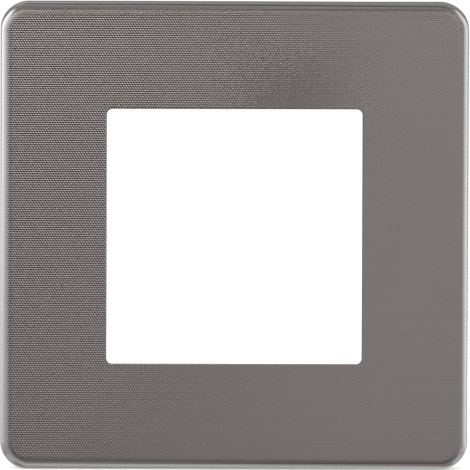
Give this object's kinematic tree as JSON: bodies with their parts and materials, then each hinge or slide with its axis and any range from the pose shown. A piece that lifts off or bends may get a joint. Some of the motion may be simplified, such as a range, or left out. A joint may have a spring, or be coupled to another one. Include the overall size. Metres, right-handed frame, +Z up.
{
  "type": "switch plate",
  "caption": "Square wall switch cover frame: a metal front with a fine dot relief, rounded rim and square device opening, crimped onto a ribbed plastic carrier.",
  "frame": {"origin": "centre of the wall plane that the back edge of the carrier lies on", "axes": "+Z up, -Y out of the wall towards the room, +X to the right as seen from the room"},
  "size_m": [0.083, 0.009, 0.083],
  "materials": {
    "textured_metal": "warm titanium grey anodised sheet with a rolled relief of fine dots",
    "carrier_plastic": "fine moulded matt"
  },
  "bodies": {
    "root": {"front_plate": "textured_metal", "carrier_frame": "carrier_plastic"}
  },
  "joints": []
}
